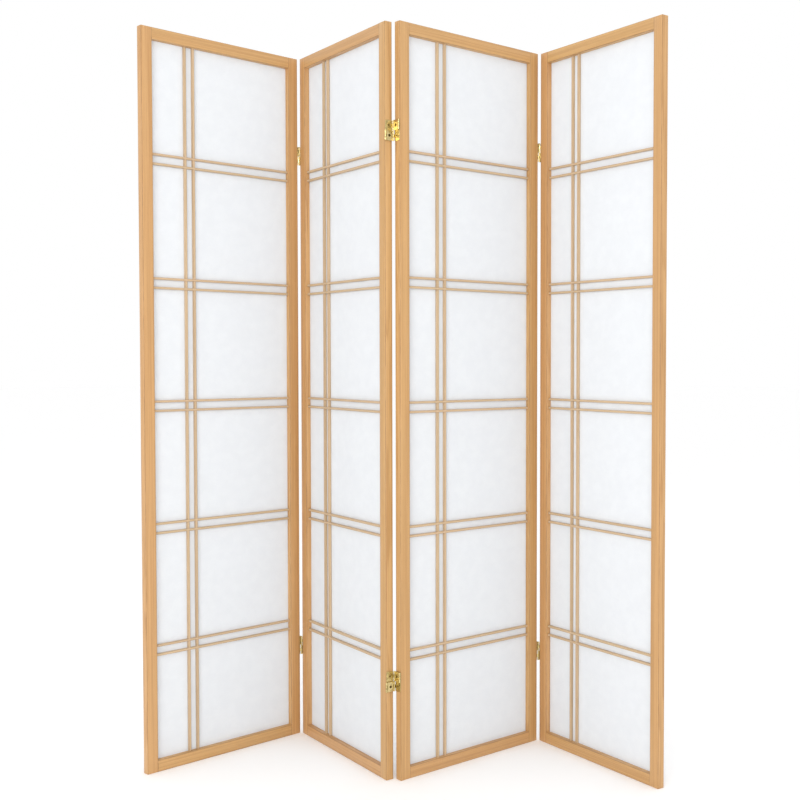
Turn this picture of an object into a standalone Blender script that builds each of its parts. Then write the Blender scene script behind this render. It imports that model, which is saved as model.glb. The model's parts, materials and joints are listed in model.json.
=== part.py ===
"""Folding room divider: four lattice-and-paper panels joined by two-way screen hinges.

Each panel has its own frame of reference: X runs along its width from its left edge, Y runs
from its front face to its back face, and Z is up.  The screen stands in a zigzag.  Its origin is
on the floor, in the middle of the space that it covers.
"""

import math

import bmesh
import bpy
from mathutils import Matrix, Vector

# Panels
PANEL_WIDTH = 0.4445
PANEL_HEIGHT = 1.784
PANEL_DEPTH = 0.01905
FRAME_WIDTH = 0.028
FRAME_CHAMFER = 0.001

# How the screen stands: the angle between the faces of two neighbours, in degrees
ANGLE_1_2 = 80.0
ANGLE_2_3 = 83.5
ANGLE_3_4 = 84.5

# Lattice: one pair of upright bars and five pairs of level bars in each panel
BAR_WIDTH = 0.0055
BAR_DEPTH = 0.007
BAR_FRONT = 0.006
BAR_STUB = 0.003
PAIR_SPACING = 0.0225
UPRIGHT_PAIR_X = 0.130
LEVEL_PAIR_COUNT = 5
LEVEL_PAIR_BOTTOM_Z = 0.2943
LEVEL_PAIR_PITCH = 0.2953

# Paper sheet, held in a groove round the inside of the frame
PAPER_THICKNESS = 0.0005
PAPER_EDGE_IN_GROOVE = 0.004

# Tenons that join the rails to the stiles
TENON_LENGTH = 0.015
TENON_THICKNESS = 0.008
TENON_OUTER_SHOULDER = 0.0045
TENON_INNER_SHOULDER = 0.006

# Hinges: the gap between two panels, and how far the pins stand outside the faces
HINGE_GAP = 0.008
PIN_OUTSIDE_FACE = 0.001
HINGE_HEIGHT = 0.048
HINGE_HEIGHTS = {"top": 1.532, "bottom": 0.236}
LEAF_THICKNESS = 0.0012
LEAF_EDGE_INSET = 0.0005
LINK_THICKNESS = 0.0014
LINKS_APART = 0.0008
KNUCKLE_RADIUS = 0.0022
KNUCKLE_START = -110.0
KNUCKLE_SWEEP = 250.0
STRAP_ROOT_BELOW_PIN = 0.0033
ROOM_ROUND_KNUCKLE = 0.0006
BORE_RADIUS = 0.0014
PIN_RADIUS = 0.0011
KNUCKLES_PER_HALF = 3
DRIVER_HOLE_RADIUS = 0.0032
SCREW_RADIUS = 0.0013
SCREW_LENGTH = 0.012
SCREW_HEAD_RADIUS = 0.0024
SCREW_HEAD_PROUD = 0.0004

CLEARANCE = 0.0003
CUT_OVERRUN = 0.001
ROUND_SIDES = 12
SMALL_ROUND_SIDES = 8
SMOOTH_BELOW_ANGLE = 50.0

PIN_Y = PANEL_DEPTH / 2 + PIN_OUTSIDE_FACE
HALF_HINGE = HINGE_HEIGHT / 2
SCREW_Z = (HALF_HINGE + LINKS_APART / 2) / 2
BAR_BACK = BAR_FRONT + BAR_DEPTH
PAPER_FRONT = BAR_BACK + CLEARANCE
PAPER_BACK = PAPER_FRONT + PAPER_THICKNESS
INNER_LEFT = FRAME_WIDTH
INNER_RIGHT = PANEL_WIDTH - FRAME_WIDTH
INNER_BOTTOM = FRAME_WIDTH
INNER_TOP = PANEL_HEIGHT - FRAME_WIDTH


def upright_centres():
    """X of the two upright bars."""
    return [UPRIGHT_PAIR_X + side * PAIR_SPACING / 2 for side in (-1, 1)]


def level_centres():
    """Z of the level bars, from the bottom up."""
    pairs = [LEVEL_PAIR_BOTTOM_Z + i * LEVEL_PAIR_PITCH for i in range(LEVEL_PAIR_COUNT)]
    return [z + side * PAIR_SPACING / 2 for z in pairs for side in (-1, 1)]


# Mesh helpers


def prism(bm, outline, z0, z1):
    """Extrudes an anticlockwise outline of (x, y) points from z0 to z1."""
    low = [bm.verts.new((x, y, z0)) for x, y in outline]
    high = [bm.verts.new((x, y, z1)) for x, y in outline]
    bm.faces.new(list(reversed(low)))
    bm.faces.new(high)
    for i in range(len(outline)):
        j = (i + 1) % len(outline)
        bm.faces.new((low[i], low[j], high[j], high[i]))


def box(bm, low, high):
    """Adds a box between two corners."""
    outline = [(low[0], low[1]), (high[0], low[1]), (high[0], high[1]), (low[0], high[1])]
    prism(bm, outline, low[2], high[2])


def circle(centre, radius, sides, start=0.0, sweep=2 * math.pi):
    """Points on a full circle, or on an arc with both of its ends."""
    full = sweep >= 2 * math.pi
    steps = sides if full else max(2, round(sides * sweep / (2 * math.pi)))
    count = steps if full else steps + 1
    angles = [start + sweep * i / steps for i in range(count)]
    return [(centre[0] + radius * math.cos(a), centre[1] + radius * math.sin(a)) for a in angles]


def mesh_from(bm, name):
    """Turns a bmesh into a mesh with its faces pointing out."""
    bmesh.ops.recalc_face_normals(bm, faces=bm.faces)
    mesh = bpy.data.meshes.new(name)
    bm.to_mesh(mesh)
    bm.free()
    return mesh


def boxes_mesh(name, boxes):
    """One mesh of separate boxes, each given by its two corners."""
    bm = bmesh.new()
    for low, high in boxes:
        box(bm, low, high)
    return mesh_from(bm, name)


def prism_mesh(name, outline, z0, z1, turn=None):
    """One extruded outline, turned by a matrix if one is given."""
    bm = bmesh.new()
    prism(bm, outline, z0, z1)
    if turn is not None:
        bmesh.ops.transform(bm, matrix=turn, verts=bm.verts)
    return mesh_from(bm, name)


def combine(base, steps):
    """Applies Boolean steps, each an operation and a mesh, and returns the resulting mesh."""
    name = base.name
    work = bpy.data.objects.new(name + "_work", base)
    bpy.context.scene.collection.objects.link(work)
    tools = []
    for i, (operation, mesh) in enumerate(steps):
        tool = bpy.data.objects.new(f"{name}_tool_{i}", mesh)
        bpy.context.scene.collection.objects.link(tool)
        step = work.modifiers.new(f"step_{i}", "BOOLEAN")
        step.operation = operation
        step.object = tool
        step.solver = "EXACT"
        tools.append(tool)
    shaped = work.evaluated_get(bpy.context.evaluated_depsgraph_get())
    result = bpy.data.meshes.new_from_object(shaped)
    for spare in [work] + tools:
        bpy.data.objects.remove(spare)
    result.name = name
    return result


def bar_outline(across, deep):
    """Section of a frame member, with its four long edges chamfered."""
    c = FRAME_CHAMFER
    return [
        (c, 0),
        (across - c, 0),
        (across, c),
        (across, deep - c),
        (across - c, deep),
        (c, deep),
        (0, deep - c),
        (0, c),
    ]


# Panel parts, in the panel's own frame


def groove_box(x0, x1, z0, z1):
    """The part of the paper's groove inside one frame member."""
    return (x0, BAR_BACK, z0), (x1, PAPER_BACK + CLEARANCE, z1)


def level_pockets(x0, x1):
    """Pockets in a stile for the ends of the level bars."""
    half = BAR_WIDTH / 2 + CLEARANCE
    y0, y1 = BAR_FRONT - CLEARANCE, BAR_BACK + CLEARANCE
    return [((x0, y0, z - half), (x1, y1, z + half)) for z in level_centres()]


def upright_pockets(z0, z1):
    """Pockets in a rail for the ends of the upright bars."""
    half = BAR_WIDTH / 2 + CLEARANCE
    y0, y1 = BAR_FRONT - CLEARANCE, BAR_BACK + CLEARANCE
    return [((x - half, y0, z0), (x + half, y1, z1)) for x in upright_centres()]


def tenon_levels():
    """Z ranges of the bottom rail's tenon and the top rail's tenon."""
    low = (TENON_OUTER_SHOULDER, FRAME_WIDTH - TENON_INNER_SHOULDER)
    return low, (PANEL_HEIGHT - low[1], PANEL_HEIGHT - low[0])


def tenon_depths():
    """Y range of a tenon."""
    middle = PANEL_DEPTH / 2
    return middle - TENON_THICKNESS / 2, middle + TENON_THICKNESS / 2


def pilot_holes(name):
    """Screw holes in the outer edge of a stile, along +X from X = 0."""
    bm = bmesh.new()
    radius = SCREW_RADIUS + CLEARANCE
    depth = SCREW_LENGTH + CLEARANCE
    for centre in HINGE_HEIGHTS.values():
        for side in (-1, 1):
            hole = circle((0, PANEL_DEPTH / 2), radius, SMALL_ROUND_SIDES)
            ring = [(y, centre + side * SCREW_Z + x) for x, y in hole]
            low = [bm.verts.new((-CUT_OVERRUN, y, z)) for y, z in ring]
            high = [bm.verts.new((depth, y, z)) for y, z in ring]
            bm.faces.new(low)
            bm.faces.new(high)
            for i in range(len(ring)):
                j = (i + 1) % len(ring)
                bm.faces.new((low[i], low[j], high[j], high[i]))
    return mesh_from(bm, name)


def stile_mesh(name, hinged):
    """A left stile: its outer edge is at X = 0 and its inner edge at X = FRAME_WIDTH."""
    inner = FRAME_WIDTH
    past = inner + CUT_OVERRUN
    outline = bar_outline(FRAME_WIDTH, PANEL_DEPTH)
    base = prism_mesh(name, outline, 0, PANEL_HEIGHT)
    groove_depth = PAPER_EDGE_IN_GROOVE + CLEARANCE
    groove = groove_box(
        inner - groove_depth,
        past,
        INNER_BOTTOM - groove_depth,
        INNER_TOP + groove_depth,
    )
    y0, y1 = tenon_depths()
    mortises = []
    for z0, z1 in tenon_levels():
        low = (inner - TENON_LENGTH - CLEARANCE, y0 - CLEARANCE, z0 - CLEARANCE)
        mortises.append((low, (past, y1 + CLEARANCE, z1 + CLEARANCE)))
    steps = [
        ("DIFFERENCE", boxes_mesh("mortises", mortises)),
        ("DIFFERENCE", boxes_mesh("groove", [groove])),
        ("DIFFERENCE", boxes_mesh("pockets", level_pockets(inner - BAR_STUB - CLEARANCE, past))),
    ]
    if hinged:
        steps.append(("DIFFERENCE", pilot_holes("pilot_holes")))
    return combine(base, steps)


def rail_mesh(name):
    """A bottom rail with a tenon at each end."""
    x0, x1 = INNER_LEFT + CLEARANCE, INNER_RIGHT - CLEARANCE
    along = Matrix(((0, 0, 1, 0), (0, 1, 0, 0), (1, 0, 0, 0), (0, 0, 0, 1)))
    body = prism_mesh(name, bar_outline(FRAME_WIDTH, PANEL_DEPTH), x0, x1, along)
    groove_depth = PAPER_EDGE_IN_GROOVE + CLEARANCE
    past = FRAME_WIDTH + CUT_OVERRUN
    z0, z1 = tenon_levels()[0]
    y0, y1 = tenon_depths()
    low = (INNER_LEFT - TENON_LENGTH, y0, z0)
    high = (INNER_RIGHT + TENON_LENGTH, y1, z1)
    groove = groove_box(x0 - CUT_OVERRUN, x1 + CUT_OVERRUN, INNER_BOTTOM - groove_depth, past)
    pockets = upright_pockets(INNER_BOTTOM - BAR_STUB - CLEARANCE, past)
    steps = [
        ("UNION", boxes_mesh("tenon", [(low, high)])),
        ("DIFFERENCE", boxes_mesh("groove", [groove])),
        ("DIFFERENCE", boxes_mesh("pockets", pockets)),
    ]
    return combine(body, steps)


def lattice_mesh(name):
    """The grid of half-lapped bars as one closed surface, made from its filled cells."""
    half = BAR_WIDTH / 2
    upright = [(x - half, x + half) for x in upright_centres()]
    level = [(z - half, z + half) for z in level_centres()]
    xs = [INNER_LEFT - BAR_STUB, *[v for pair in upright for v in pair], INNER_RIGHT + BAR_STUB]
    zs = [INNER_BOTTOM - BAR_STUB, *[v for pair in level for v in pair], INNER_TOP + BAR_STUB]

    def filled(i, j):
        inside = 0 <= i < len(xs) - 1 and 0 <= j < len(zs) - 1
        return inside and (i % 2 == 1 or j % 2 == 1)

    bm = bmesh.new()
    verts = {}

    def vert(i, j, back):
        key = (i, j, back)
        if key not in verts:
            verts[key] = bm.verts.new((xs[i], BAR_BACK if back else BAR_FRONT, zs[j]))
        return verts[key]

    def side(a, b):
        bm.faces.new((vert(*a, False), vert(*b, False), vert(*b, True), vert(*a, True)))

    for i in range(len(xs) - 1):
        for j in range(len(zs) - 1):
            if not filled(i, j):
                continue
            corners = [(i, j), (i + 1, j), (i + 1, j + 1), (i, j + 1)]
            bm.faces.new([vert(*c, False) for c in corners])
            bm.faces.new([vert(*c, True) for c in reversed(corners)])
            neighbours = [(i, j - 1), (i + 1, j), (i, j + 1), (i - 1, j)]
            for k, cell in enumerate(neighbours):
                if not filled(*cell):
                    side(corners[k], corners[(k + 1) % 4])
    return mesh_from(bm, name)


def paper_mesh(name):
    """The sheet, with its edges inside the groove."""
    edge = PAPER_EDGE_IN_GROOVE
    low = (INNER_LEFT - edge, PAPER_FRONT, INNER_BOTTOM - edge)
    high = (INNER_RIGHT + edge, PAPER_BACK, INNER_TOP + edge)
    return boxes_mesh(name, [(low, high)])


# Hinge parts.  The hinge's own frame has its origin in the middle of the gap between two
# panels that lie flat: X points from the left panel to the right panel, and Y to the back.


def half_layers():
    """Z ranges of the knuckles in the upper half of a hinge, from the bottom up."""
    z0 = LINKS_APART / 2
    length = (HALF_HINGE - z0 - (KNUCKLES_PER_HALF - 1) * CLEARANCE) / KNUCKLES_PER_HALF
    starts = [z0 + i * (length + CLEARANCE) for i in range(KNUCKLES_PER_HALF)]
    return [(z, z + length) for z in starts]


def screw_mesh(z):
    """A screw through a leaf into the edge of the panel on its left."""
    face = -HINGE_GAP / 2 + CLEARANCE + LEAF_THICKNESS
    embedded = face - LEAF_THICKNESS / 2
    tip = -HINGE_GAP / 2 - SCREW_LENGTH
    levels = [
        (face + SCREW_HEAD_PROUD, SCREW_HEAD_RADIUS),
        (embedded, SCREW_HEAD_RADIUS),
        (embedded, SCREW_RADIUS),
        (tip, SCREW_RADIUS),
    ]
    bm = bmesh.new()
    rings = []
    for x, radius in levels:
        points = circle((0, z), radius, SMALL_ROUND_SIDES)
        rings.append([bm.verts.new((x, y, height)) for y, height in points])
    bm.faces.new(rings[0])
    bm.faces.new(rings[-1])
    for near, far in zip(rings, rings[1:]):
        for i in range(SMALL_ROUND_SIDES):
            j = (i + 1) % SMALL_ROUND_SIDES
            bm.faces.new((near[i], near[j], far[j], far[i]))
    return mesh_from(bm, "screw")


def knuckle_outline():
    """A back knuckle and the strap that ties it to the left leaf."""
    inside = -HINGE_GAP / 2 + CLEARANCE + LEAF_THICKNESS / 2
    start, sweep = math.radians(KNUCKLE_START), math.radians(KNUCKLE_SWEEP)
    curl = circle((0, PIN_Y), KNUCKLE_RADIUS, ROUND_SIDES, start, sweep)
    return [(inside, PIN_Y - STRAP_ROOT_BELOW_PIN), *curl, (inside, PIN_Y)]


def leaf_mesh(name):
    """A leaf for the left panel's edge: upper knuckle at the back, lower knuckle in front."""
    edge = PANEL_DEPTH / 2 - LEAF_EDGE_INSET
    x0 = -HINGE_GAP / 2 + CLEARANCE
    low = (x0, -edge, -HALF_HINGE)
    plate = boxes_mesh(name, [(low, (x0 + LEAF_THICKNESS, edge, HALF_HINGE))])
    z0, z1 = half_layers()[1]
    over = Matrix.Rotation(math.pi, 4, "X")
    bore = circle((0, PIN_Y), BORE_RADIUS, SMALL_ROUND_SIDES)
    steps = []
    for turn in (None, over):
        steps.append(("UNION", prism_mesh("knuckle", knuckle_outline(), z0, z1, turn)))
        cut = prism_mesh("bore", bore, z0 - CUT_OVERRUN, z1 + CUT_OVERRUN, turn)
        steps.append(("DIFFERENCE", cut))
    for z in (SCREW_Z, -SCREW_Z):
        steps.append(("UNION", screw_mesh(z)))
    return combine(plate, steps)


def link_outline():
    """The plate of a link with a round knuckle at each end."""
    lap = math.asin(LINK_THICKNESS / 2 / KNUCKLE_RADIUS)
    sweep = 2 * math.pi - 2 * lap
    back = circle((0, PIN_Y), KNUCKLE_RADIUS, ROUND_SIDES, -math.pi / 2 + lap, sweep)
    front = circle((0, -PIN_Y), KNUCKLE_RADIUS, ROUND_SIDES, math.pi / 2 + lap, sweep)
    return back + front


def link_mesh(name):
    """The upper link with its two pins.  It joins the left leaf's back to the right's front."""
    layers = half_layers()
    base = prism_mesh(name, link_outline(), layers[0][0], layers[-1][1])
    clear = KNUCKLE_RADIUS + ROOM_ROUND_KNUCKLE
    z0, z1 = layers[0][1], layers[-1][0]
    steps = []
    for y in (PIN_Y, -PIN_Y):
        ring = prism_mesh("room", circle((0, y), clear, ROUND_SIDES), z0, z1)
        core = circle((0, y), PIN_RADIUS, SMALL_ROUND_SIDES)
        pin = prism_mesh("pin", core, z0 - CUT_OVERRUN, z1 + CUT_OVERRUN)
        steps.append(("DIFFERENCE", combine(ring, [("DIFFERENCE", pin)])))
    across = Matrix.Translation((0, 0, SCREW_Z)) @ Matrix.Rotation(math.pi / 2, 4, "Y")
    hole = circle((0, 0), DRIVER_HOLE_RADIUS, ROUND_SIDES)
    driver_hole = prism_mesh("driver_hole", hole, -LINK_THICKNESS, LINK_THICKNESS, across)
    steps.append(("DIFFERENCE", driver_hole))
    return combine(base, steps)


# Materials and objects


def principled(name, colour, roughness, metallic=0.0):
    """A plain Principled material."""
    material = bpy.data.materials.new(name)
    material.use_nodes = True
    shader = next(n for n in material.node_tree.nodes if n.type == "BSDF_PRINCIPLED")
    shader.inputs["Base Color"].default_value = (*colour, 1.0)
    shader.inputs["Roughness"].default_value = roughness
    shader.inputs["Metallic"].default_value = metallic
    material.diffuse_color = (*colour, 1.0)
    return material


def place(name, mesh, parent, location=(0, 0, 0), turn_z=0.0):
    """Adds one piece to a panel or a hinge."""
    piece = bpy.data.objects.new(name, mesh)
    bpy.context.scene.collection.objects.link(piece)
    piece.parent = parent
    piece.location = location
    piece.rotation_euler = (0, 0, turn_z)
    return piece


def empty(name, parent=None, location=(0, 0, 0), turn_z=0.0):
    """A frame of reference for pieces that move together."""
    frame = bpy.data.objects.new(name, None)
    bpy.context.scene.collection.objects.link(frame)
    frame.parent = parent
    frame.location = location
    frame.rotation_euler = (0, 0, turn_z)
    return frame


def flipped(mesh, name, matrix):
    """A mirrored or turned copy of a mesh."""
    bm = bmesh.new()
    bm.from_mesh(mesh)
    bmesh.ops.transform(bm, matrix=matrix, verts=bm.verts)
    return mesh_from(bm, name)


def coloured(mesh, material):
    """Gives a mesh its material."""
    mesh.materials.clear()
    mesh.materials.append(material)
    return mesh


def smooth_rounds(mesh):
    """Shades round faces smooth and keeps sharp edges."""
    mesh.shade_smooth()
    mesh.set_sharp_from_angle(angle=math.radians(SMOOTH_BELOW_ANGLE))
    return mesh


def panel_frames():
    """Empties for the four panels.  Each moving panel hangs on the pin that it turns about."""
    across = PANEL_WIDTH + HINGE_GAP / 2
    front, back = -PIN_OUTSIDE_FACE, PANEL_DEPTH + PIN_OUTSIDE_FACE
    turn_1, turn_2, turn_3 = (math.radians(180 - a) for a in (ANGLE_1_2, ANGLE_2_3, ANGLE_3_4))
    heading = (turn_3 - turn_1 - 2 * turn_2) / 4
    stand = empty("panel_2_frame", None, (0, 0, 0), heading)
    pin_1 = empty("fold_1_2_pin", stand, (-HINGE_GAP / 2, front, 0), turn_1)
    pin_2 = empty("fold_2_3_pin", stand, (across, back, 0), turn_2)
    panel_1 = empty("panel_1_frame", pin_1, (-across, -front, 0))
    panel_3 = empty("panel_3_frame", pin_2, (HINGE_GAP / 2, -back, 0))
    pin_3 = empty("fold_3_4_pin", panel_3, (across, front, 0), -turn_3)
    panel_4 = empty("panel_4_frame", pin_3, (HINGE_GAP / 2, -front, 0))
    return {1: panel_1, 2: stand, 3: panel_3, 4: panel_4}


def make_panel(number, frame, shapes):
    """The frame, lattice and paper of one panel."""
    name = f"panel_{number}_"
    left = "left_hinged" if number > 1 else "left_plain"
    right = "right_hinged" if number < 4 else "right_plain"
    place(name + "stile_left", shapes[left], frame)
    place(name + "stile_right", shapes[right], frame)
    place(name + "rail_bottom", shapes["rail_bottom"], frame)
    place(name + "rail_top", shapes["rail_top"], frame)
    place(name + "lattice", shapes["lattice"], frame)
    place(name + "paper", shapes["paper"], frame)


def make_hinge(number, level, folds_forward, left_frame, right_frame, shapes):
    """One hinge.  While the screen folds one way, each link stays with one of its panels."""
    name = f"hinge_{number}_{level}_"
    z = HINGE_HEIGHTS[level]
    left = (PANEL_WIDTH + HINGE_GAP / 2, PANEL_DEPTH / 2, z)
    right = (-HINGE_GAP / 2, PANEL_DEPTH / 2, z)
    place(name + "leaf_left", shapes["leaf"], left_frame, left)
    place(name + "leaf_right", shapes["leaf"], right_frame, right, math.pi)
    drop = Vector((0, 0, -2 * SCREW_Z))
    if folds_forward:
        place(name + "link_upper", shapes["link"], left_frame, left)
        place(name + "link_lower", shapes["link"], right_frame, Vector(right) + drop)
    else:
        place(name + "link_upper", shapes["link"], right_frame, right)
        place(name + "link_lower", shapes["link"], left_frame, Vector(left) + drop)


def centre_on_floor(root):
    """Moves the screen so that the middle of its footprint is at the origin."""
    bpy.context.view_layer.update()
    points = [
        piece.matrix_world @ vert.co
        for piece in bpy.context.scene.objects
        if piece.type == "MESH"
        for vert in piece.data.vertices
    ]
    for axis in (0, 1):
        values = [point[axis] for point in points]
        root.location[axis] -= (min(values) + max(values)) / 2
    bpy.context.view_layer.update()


def main():
    for old in list(bpy.data.objects):
        bpy.data.objects.remove(old)
    frame_wood = principled("frame_wood", (0.62, 0.39, 0.19), 0.5)
    lattice_wood = principled("lattice_wood", (0.66, 0.43, 0.22), 0.55)
    paper = principled("rice_paper", (0.88, 0.87, 0.83), 0.85)
    leaf_brass = principled("leaf_brass", (0.78, 0.58, 0.22), 0.3, 1.0)
    link_brass = principled("link_brass", (0.8, 0.61, 0.26), 0.28, 1.0)

    mirror_x = Matrix.Translation((PANEL_WIDTH, 0, 0)) @ Matrix.Scale(-1, 4, (1, 0, 0))
    mirror_z = Matrix.Translation((0, 0, PANEL_HEIGHT)) @ Matrix.Scale(-1, 4, (0, 0, 1))
    plain = stile_mesh("stile_left_plain", hinged=False)
    hinged = stile_mesh("stile_left_hinged", hinged=True)
    rail = rail_mesh("rail_bottom")
    shapes = {
        "left_plain": coloured(plain, frame_wood),
        "left_hinged": coloured(hinged, frame_wood),
        "right_plain": coloured(flipped(plain, "stile_right_plain", mirror_x), frame_wood),
        "right_hinged": coloured(flipped(hinged, "stile_right_hinged", mirror_x), frame_wood),
        "rail_bottom": coloured(rail, frame_wood),
        "rail_top": coloured(flipped(rail, "rail_top", mirror_z), frame_wood),
        "lattice": coloured(lattice_mesh("lattice"), lattice_wood),
        "paper": coloured(paper_mesh("paper"), paper),
        "leaf": coloured(smooth_rounds(leaf_mesh("leaf")), leaf_brass),
        "link": coloured(smooth_rounds(link_mesh("link")), link_brass),
    }

    frames = panel_frames()
    for number, frame in frames.items():
        make_panel(number, frame, shapes)
    for number in (1, 2, 3):
        for level in HINGE_HEIGHTS:
            forward = number != 2
            make_hinge(number, level, forward, frames[number], frames[number + 1], shapes)
    centre_on_floor(frames[2])


main()
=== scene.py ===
"""Looks of the folding screen: boards, lattice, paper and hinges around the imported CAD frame.

Each panel has its own space, as in the CAD: X runs along its width from its left edge, Y from
its front face to its back face, and Z is up.  All sizes are in metres.
"""

import json
import math
import random

import bmesh
import bpy
from mathutils import Matrix, Vector


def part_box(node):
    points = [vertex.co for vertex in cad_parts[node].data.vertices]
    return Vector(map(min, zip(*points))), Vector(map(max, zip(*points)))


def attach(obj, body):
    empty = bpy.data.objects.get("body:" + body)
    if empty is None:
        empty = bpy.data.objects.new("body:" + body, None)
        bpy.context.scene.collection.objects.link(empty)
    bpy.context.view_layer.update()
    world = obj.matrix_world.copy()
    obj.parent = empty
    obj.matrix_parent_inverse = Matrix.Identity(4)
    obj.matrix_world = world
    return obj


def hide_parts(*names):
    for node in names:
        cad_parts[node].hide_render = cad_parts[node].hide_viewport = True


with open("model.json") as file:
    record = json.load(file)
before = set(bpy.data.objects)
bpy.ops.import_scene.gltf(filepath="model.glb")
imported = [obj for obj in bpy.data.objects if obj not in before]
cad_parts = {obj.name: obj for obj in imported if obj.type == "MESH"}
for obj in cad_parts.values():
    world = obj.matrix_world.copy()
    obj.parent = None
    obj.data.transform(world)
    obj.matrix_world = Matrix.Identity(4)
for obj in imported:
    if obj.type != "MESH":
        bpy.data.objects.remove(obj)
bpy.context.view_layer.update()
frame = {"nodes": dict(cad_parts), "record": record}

PANELS = (1, 2, 3, 4)
LEVELS = ("top", "bottom")
MM = 0.001
SMOOTH_ANGLE = math.radians(38)

# CAD points that are nearer than this along an axis count as level with each other
NEAR = 0.3 * MM

# Room round one piece in another, and how far cutting shapes run past what they cut
FIT = 0.3 * MM
OVERRUN = 1 * MM

# Boards of the frames
EDGE_ROUND = 1.2 * MM
END_ROUND = 0.9 * MM
JOINT_EDGE = 0.12 * MM
ROUND_STEPS = 3
SHOULDER_GAP = 0.12 * MM
TENON_THICKNESS = 8 * MM
TENON_OUTER_SHOULDER = 4.5 * MM
TENON_INNER_SHOULDER = 6 * MM
PILOT_RADIUS = 1.6 * MM
PILOT_DEPTH = 12.3 * MM
PILOT_SIDES = 12

# Lattice bars
BAR_ROUND = 0.45 * MM
BAR_ROUND_STEPS = 2
LAP_FIT = 0.04 * MM

# Paper
PAPER_CELL = 12 * MM
PAPER_BOW = 0.35 * MM
PAPER_COCKLE = 0.12 * MM
PAPER_REST = 0.05 * MM
PAPER_FREE = 30 * MM
PAPER_WAVES = 5
WAVE_RATES = (9, 26)
WAVE_PHASES = (0, 6.3)
WAVE_STRETCH = (3, 2)

# Hinges, measured from the middle of the gap between two panels that lie flat
LINKS_APART = 0.8 * MM
LAYERS = 3
PIN_RADIUS = 1.1 * MM
PIN_HEAD_RADIUS = 1.55 * MM
PIN_HEAD_HEIGHT = 0.45 * MM
PIN_TAIL_HEIGHT = 0.08 * MM
PIN_TAIL_RADII = (0.4 * PIN_RADIUS, 0.8 * PIN_RADIUS)
PIN_SIDES = 24
BORE_RADIUS = 1.2 * MM
BORE_SIDES = 28
KNUCKLE_RADIUS = 2.2 * MM
KNUCKLE_ROOM = 2.8 * MM
KNUCKLE_SIDES = 36
LEAF_THICKNESS = 1.2 * MM
LEAF_CORNER = 2.2 * MM
LEAF_CORNER_STEPS = 6
LEAF_EASE = 0.16 * MM
LINK_THICKNESS = 1.4 * MM
LINK_EASE = 0.12 * MM
DRIVER_HOLE_RADIUS = 3.2 * MM
STRAP_INSET = 0.02 * MM
STRAP_HEADING = math.radians(45)
STRAP_END = math.radians(197)
STRAP_BEND_STEPS = 6
STRAP_ROLL_STEPS = 28
SCREW_HEAD_RADIUS = 2.4 * MM
SCREW_DOME = 0.42 * MM
SCREW_LENGTH = 12 * MM
SCREW_CORE = 0.95 * MM
SCREW_THREAD = 1.3 * MM
SCREW_PITCH = 1.1 * MM
SCREW_TAPER = 3 * SCREW_PITCH
SCREW_POINT = 0.08
SCREW_NECK = 0.3 * MM
SCREW_RIM = 0.15 * MM
SCREW_SIDES = 28
SCREW_ROWS = 54
SINK_RADIUS = 2.55 * MM
SINK_BOTTOM_RADIUS = 1.45 * MM
SINK_SIDES = 32
RECESS_LENGTH = 2.7 * MM
RECESS_WIDTH = 0.55 * MM
RECESS_DEPTH = 0.75 * MM
DOME_STEPS = 6

# Colours.  The edge colours are painted shade along the rounded edges of the boards and bars, on
# top of some wear.
WHITE = (1, 1, 1, 1)
FRAME_EARLY = (0.58, 0.338, 0.138, 1)
FRAME_LATE = (0.38, 0.187, 0.058, 1)
FRAME_EDGE_SHADE = (0.22, 0.115, 0.04, 1)
LATTICE_EARLY = (0.58, 0.42, 0.26, 1)
LATTICE_LATE = (0.46, 0.315, 0.18, 1)
LATTICE_EDGE_SHADE = (0.39, 0.265, 0.15, 1)
PAPER_LIGHT = (0.835, 0.853, 0.872, 1)
PAPER_SHADE = (0.81, 0.828, 0.850, 1)
LEAF_BRIGHT = (0.72, 0.575, 0.255, 1)
LEAF_AGED = (0.26, 0.185, 0.06, 1)
LINK_BRIGHT = (0.76, 0.62, 0.30, 1)
LINK_AGED = (0.30, 0.215, 0.08, 1)
# The screws are a much darker brass all over than the leaves and links.
SCREW_BRIGHT = (0.30, 0.20, 0.07, 1)
SCREW_AGED = (0.10, 0.065, 0.02, 1)

# Ranges of a noise's values, each stretched over what it sets
USUAL = (0.3, 0.7)
WIDE = (0.25, 0.75)
STREAKS = (0.35, 0.68)
PATCHES = (0.35, 0.65)
STRANDS = (0.62, 0.72)
BLOOMS = (0.42, 0.72)
SPECKS = (0.64, 0.74)

# Wood.  A board is cut somewhere along a log, some way from its middle.
LOG_ALONG = (0, 40)
LOG_AWAY = (0.07, 0.13)
LOG_ASIDE = (-0.02, 0.02)
# A scale is the noise's cycles in a metre, first along the grain and then across it.
RING_SPACING = 2.6 * MM
RING_WANDER = 16 * MM
RING_WANDER_SCALE = (1.6, 9, 9)
RING_DRIFT = 1.4
RING_DRIFT_SCALE = (0.9, 160, 160)
RING_STOPS = ((0, 0.1), (0.45, 0.2), (0.82, 0.85), (0.94, 1), (1, 0.1))
RING_STRENGTH = (0.32, 0.62)
STREAK_SCALE = (2.2, 210, 210)
STREAK_STRENGTH = (-0.08, 0.34)
FIBRE_SCALE = (55, 2100, 2100)
FIBRE_VALUE = (0.97, 1.03)
BROAD_SCALE = (3.5, 26, 26)
BROAD_VALUE = (0.95, 1.04)
BOARD_VALUE = (0.95, 1.04)
BOARD_HUE = (0.494, 0.504)
PATCH_SCALE = (28, 90, 90)
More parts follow.
